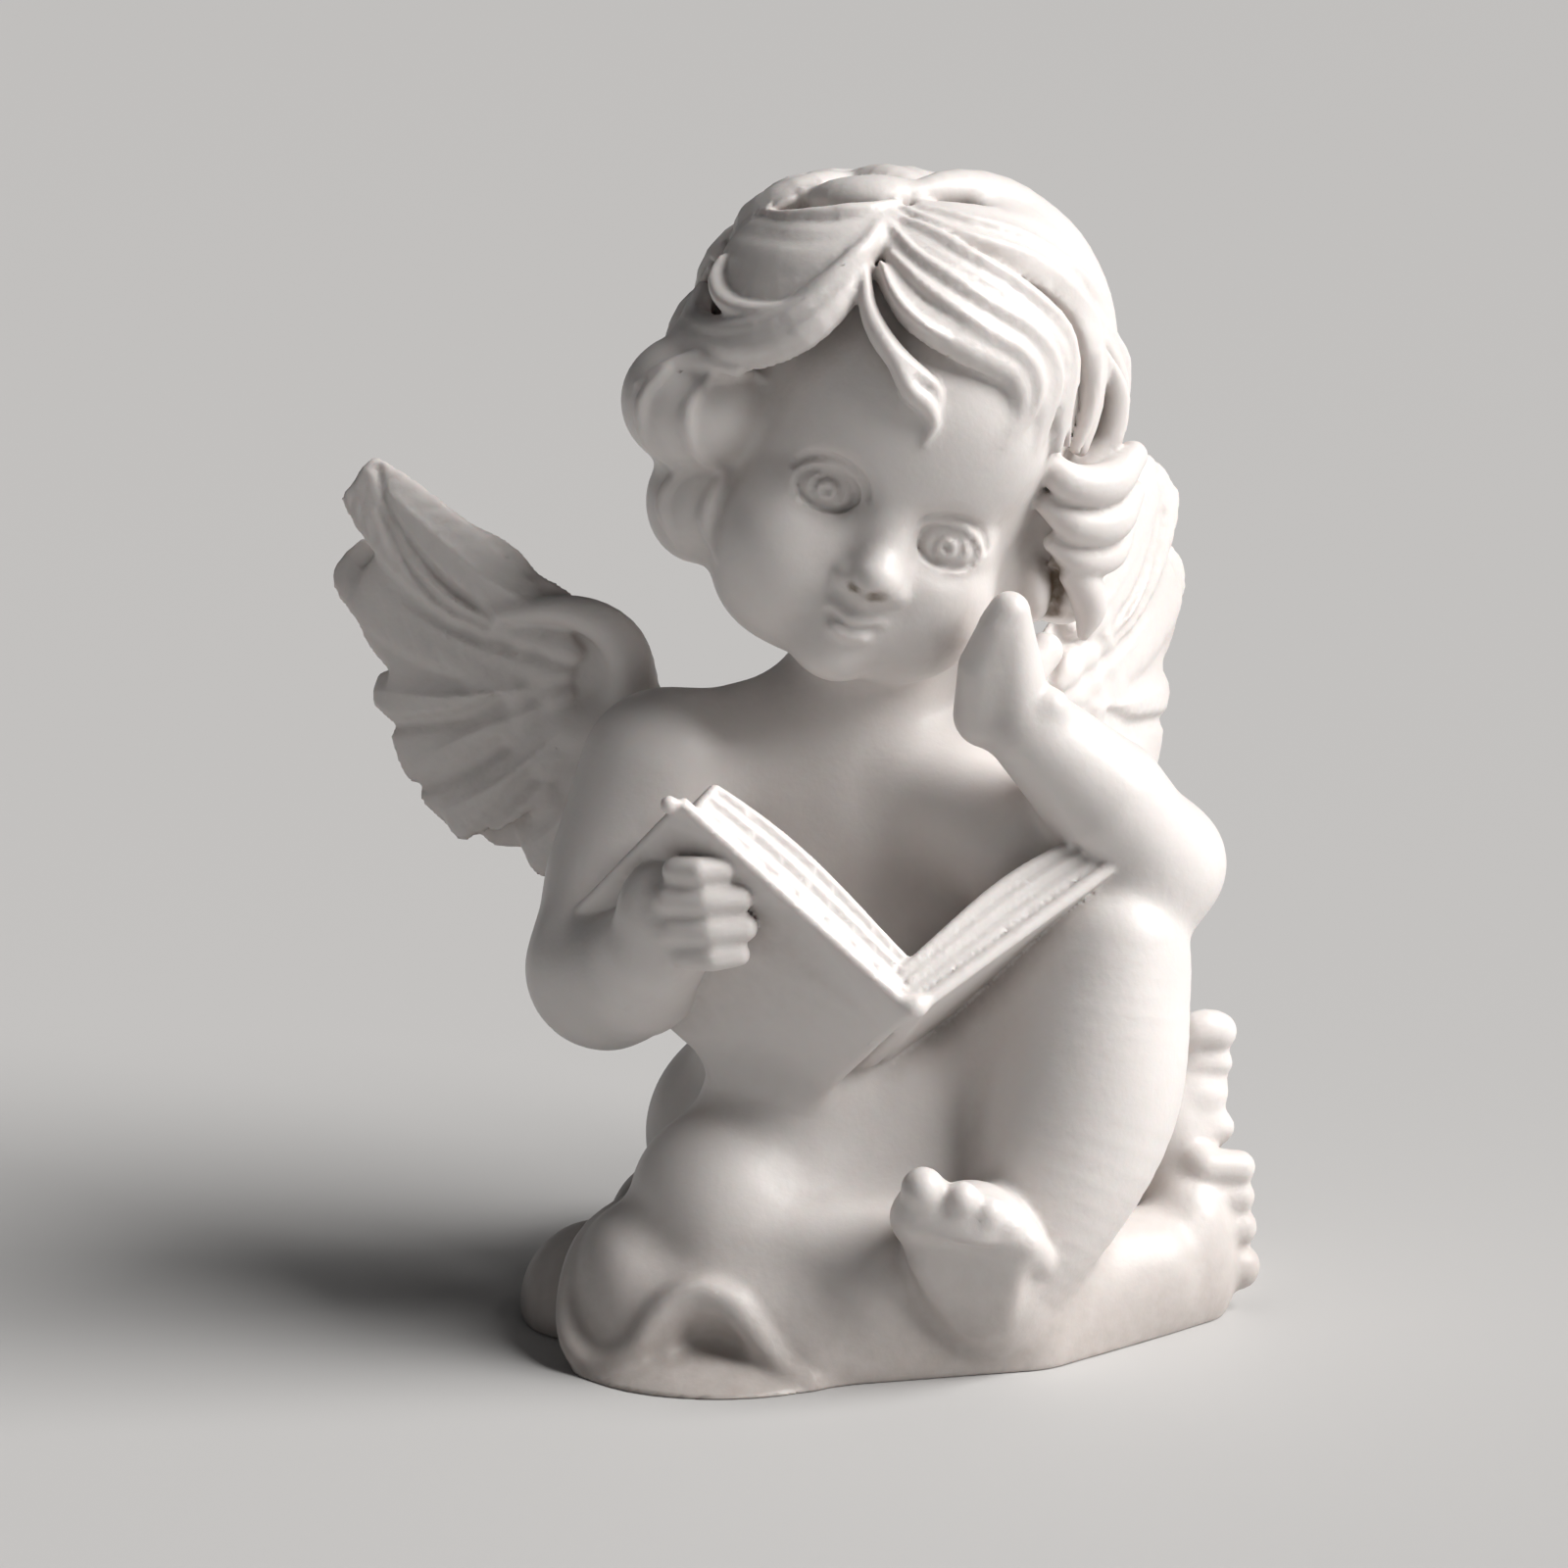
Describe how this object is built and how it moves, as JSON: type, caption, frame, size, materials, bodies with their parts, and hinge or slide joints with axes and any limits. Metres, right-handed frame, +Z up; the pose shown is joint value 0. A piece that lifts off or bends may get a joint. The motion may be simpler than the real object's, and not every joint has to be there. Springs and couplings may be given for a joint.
{
  "type": "cherub figurine",
  "caption": "Small white cast figurine of a winged child who sits on a rock, rests the head on one hand and reads an open book.",
  "frame": {"origin": "in the flat underside, in the middle of the base", "axes": "+Z up, -Y towards the front that the picture shows, +X to the viewer's right of that front"},
  "size_m": [0.0969, 0.0756, 0.1185],
  "materials": {
    "casting": "off-white resin plaster, satin from a thin clear coat, greyer in the creases"
  },
  "bodies": {
    "root": {"cherub_figurine": "casting"}
  },
  "joints": []
}
